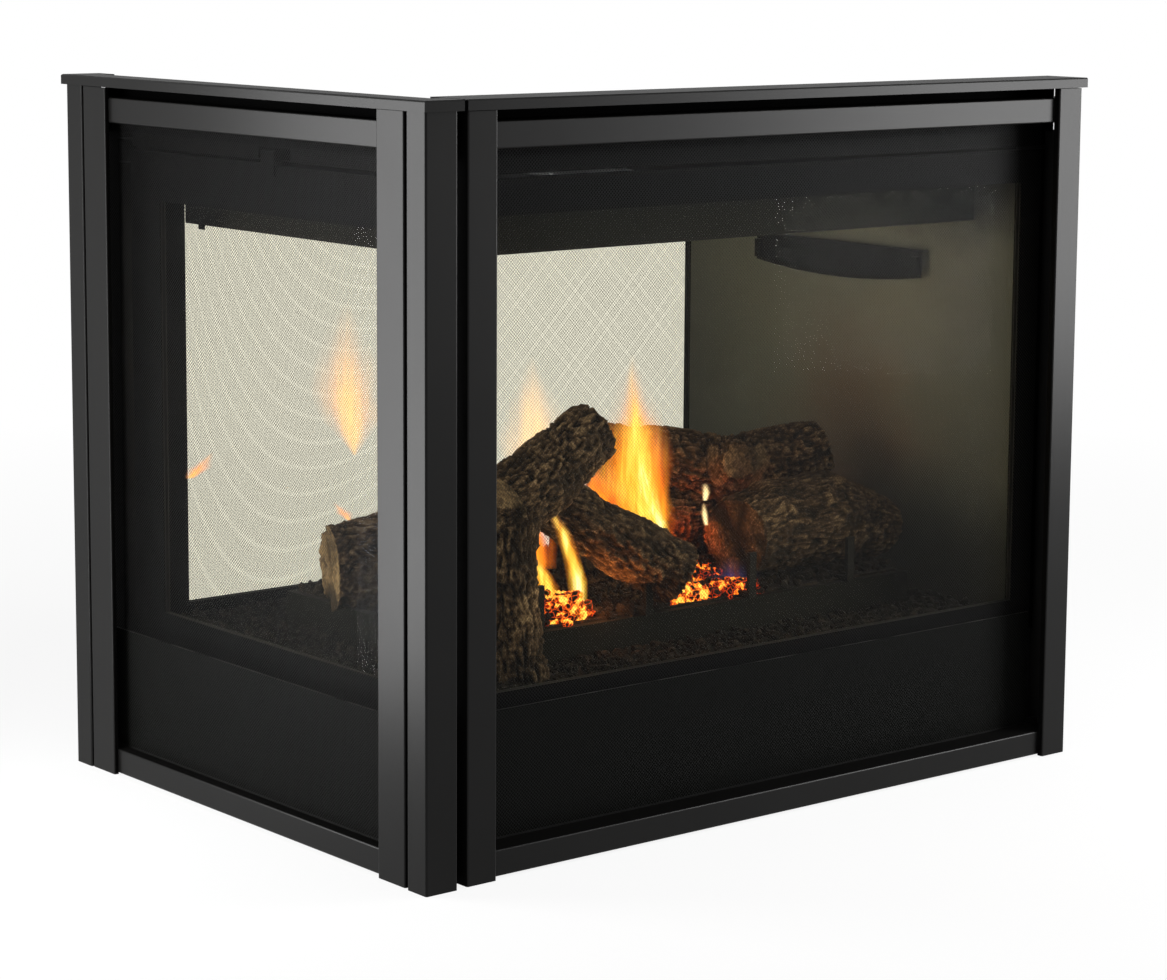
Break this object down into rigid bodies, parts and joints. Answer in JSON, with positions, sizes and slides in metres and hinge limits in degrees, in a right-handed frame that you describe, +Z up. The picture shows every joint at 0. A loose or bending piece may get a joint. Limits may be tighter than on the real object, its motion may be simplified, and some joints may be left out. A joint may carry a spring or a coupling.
{
  "type": "multi-sided gas fireplace",
  "caption": "Freestanding peninsula gas fireplace with mesh screens over glass on front, end and back, a log fire bed, and caps round a lower deck with a coaxial vent collar.",
  "frame": {"origin": "centre of the overall box at floor level", "axes": "+X along the long side from the glazed end to the closed end, the front long face is -Y, the glazed end is -X, +Z up"},
  "size_m": [1.106, 0.806, 0.93],
  "materials": {
    "trim_paint": "satin dark grey metallic",
    "casing_steel": "satin",
    "firebox_paint": "matte high-temperature",
    "mesh_wire": "matte black",
    "bright_steel": "brushed",
    "aluminium": "satin",
    "ceramic_glass": "clear",
    "gasket_rope": "woven glass fibre",
    "log_ceramic": "rough cast bark",
    "ember_fibre": "rough",
    "lava_rock": "rough granules",
    "brass": "satin",
    "black_plastic": "matte",
    "red_plastic": "gloss"
  },
  "bodies": {
    "fireplace": {"base_pan": "casing_steel", "end_casing": "casing_steel", "top_deck": "casing_steel", "corner_post_near": "trim_paint", "corner_post_far": "trim_paint", "front_cap": "trim_paint", "end_cap": "trim_paint", "back_cap": "trim_paint", "cap_header": "casing_steel", "column_near": "firebox_paint", "column_far": "firebox_paint", "firebox_floor": "firebox_paint", "firebox_end_wall": "firebox_paint", "firebox_ceiling": "firebox_paint", "exhaust_baffle": "firebox_paint", "outer_vent_collar": "bright_steel", "inner_vent_collar": "bright_steel", "front_glass_frame": "firebox_paint", "end_glass_frame": "firebox_paint", "back_glass_frame": "firebox_paint", "front_glass": "ceramic_glass", "end_glass": "ceramic_glass", "back_glass": "ceramic_glass", "glass_gaskets": "gasket_rope", "burner_tray": "firebox_paint", "burner_tube": "bright_steel", "log_grate": "mesh_wire", "ember_bed": "ember_fibre", "lava_rock_bed": "lava_rock", "fork_log": "log_ceramic", "leaning_log": "log_ceramic", "top_log": "log_ceramic", "right_log": "log_ceramic", "rear_log": "log_ceramic", "left_log": "log_ceramic", "pilot_burner": "bright_steel", "control_bracket": "casing_steel", "gas_valve": "aluminium", "igniter_body": "black_plastic", "switch_housing": "black_plastic", "shutoff_valve": "brass", "burner_feed_tube": "aluminium", "screws": "bright_steel"},
    "front_screen": {"front_screen_frame": "trim_paint", "front_mesh": "mesh_wire", "front_lower_panel": "casing_steel"},
    "end_screen": {"end_screen_frame": "trim_paint", "end_mesh": "mesh_wire", "end_lower_panel": "casing_steel"},
    "back_screen": {"back_screen_frame": "trim_paint", "back_mesh": "mesh_wire", "back_lower_panel": "casing_steel"},
    "front_turn_button": {"front_latch": "bright_steel"},
    "end_lever": {"end_latch": "bright_steel"},
    "back_turn_button": {"back_latch": "bright_steel"},
    "pilot_knob": {"pilot_knob": "black_plastic"},
    "flame_knob": {"flame_knob": "black_plastic"},
    "igniter_button": {"igniter_button": "red_plastic"},
    "rocker": {"rocker_switch": "black_plastic"},
    "shutoff_handle": {"shutoff_handle": "red_plastic"}
  },
  "joints": [
    {"name": "front_screen_pull", "type": "slide", "parent": "fireplace", "child": "front_screen", "axis": [0, -1, 0], "range_m": [0, 0.15]},
    {"name": "end_screen_pull", "type": "slide", "parent": "fireplace", "child": "end_screen", "axis": [-1, 0, 0], "range_m": [0, 0.15]},
    {"name": "back_screen_pull", "type": "slide", "parent": "fireplace", "child": "back_screen", "axis": [0, 1, 0], "range_m": [0, 0.15]},
    {"name": "front_latch_turn", "type": "hinge", "parent": "fireplace", "child": "front_turn_button", "pos_m": [0, -0.34, 0.152], "axis": [0, 1, 0], "range_deg": [0, 90]},
    {"name": "back_latch_turn", "type": "hinge", "parent": "fireplace", "child": "back_turn_button", "pos_m": [0, 0.34, 0.152], "axis": [0, 1, 0], "range_deg": [0, 90]},
    {"name": "end_latch_lift", "type": "hinge", "parent": "fireplace", "child": "end_lever", "pos_m": [-0.492, 0, 0.846], "axis": [0, 1, 0], "range_deg": [0, 45]},
    {"name": "pilot_knob_turn", "type": "hinge", "parent": "fireplace", "child": "pilot_knob", "pos_m": [0.241, -0.3, 0.08], "axis": [0, 1, 0], "range_deg": [0, 180]},
    {"name": "flame_knob_turn", "type": "hinge", "parent": "fireplace", "child": "flame_knob", "pos_m": [0.295, -0.3, 0.08], "axis": [0, 1, 0], "range_deg": [0, 120]},
    {"name": "igniter_press", "type": "slide", "parent": "fireplace", "child": "igniter_button", "axis": [0, 1, 0], "range_m": [0, 0.006], "stiffness_N_per_m": 800},
    {"name": "rocker_tip", "type": "hinge", "parent": "fireplace", "child": "rocker", "pos_m": [0.358, -0.292, 0.08], "axis": [1, 0, 0], "range_deg": [0, 16]},
    {"name": "shutoff_turn", "type": "hinge", "parent": "fireplace", "child": "shutoff_handle", "pos_m": [0.432, -0.28, 0.08], "axis": [0, 1, 0], "range_deg": [0, 90]}
  ]
}
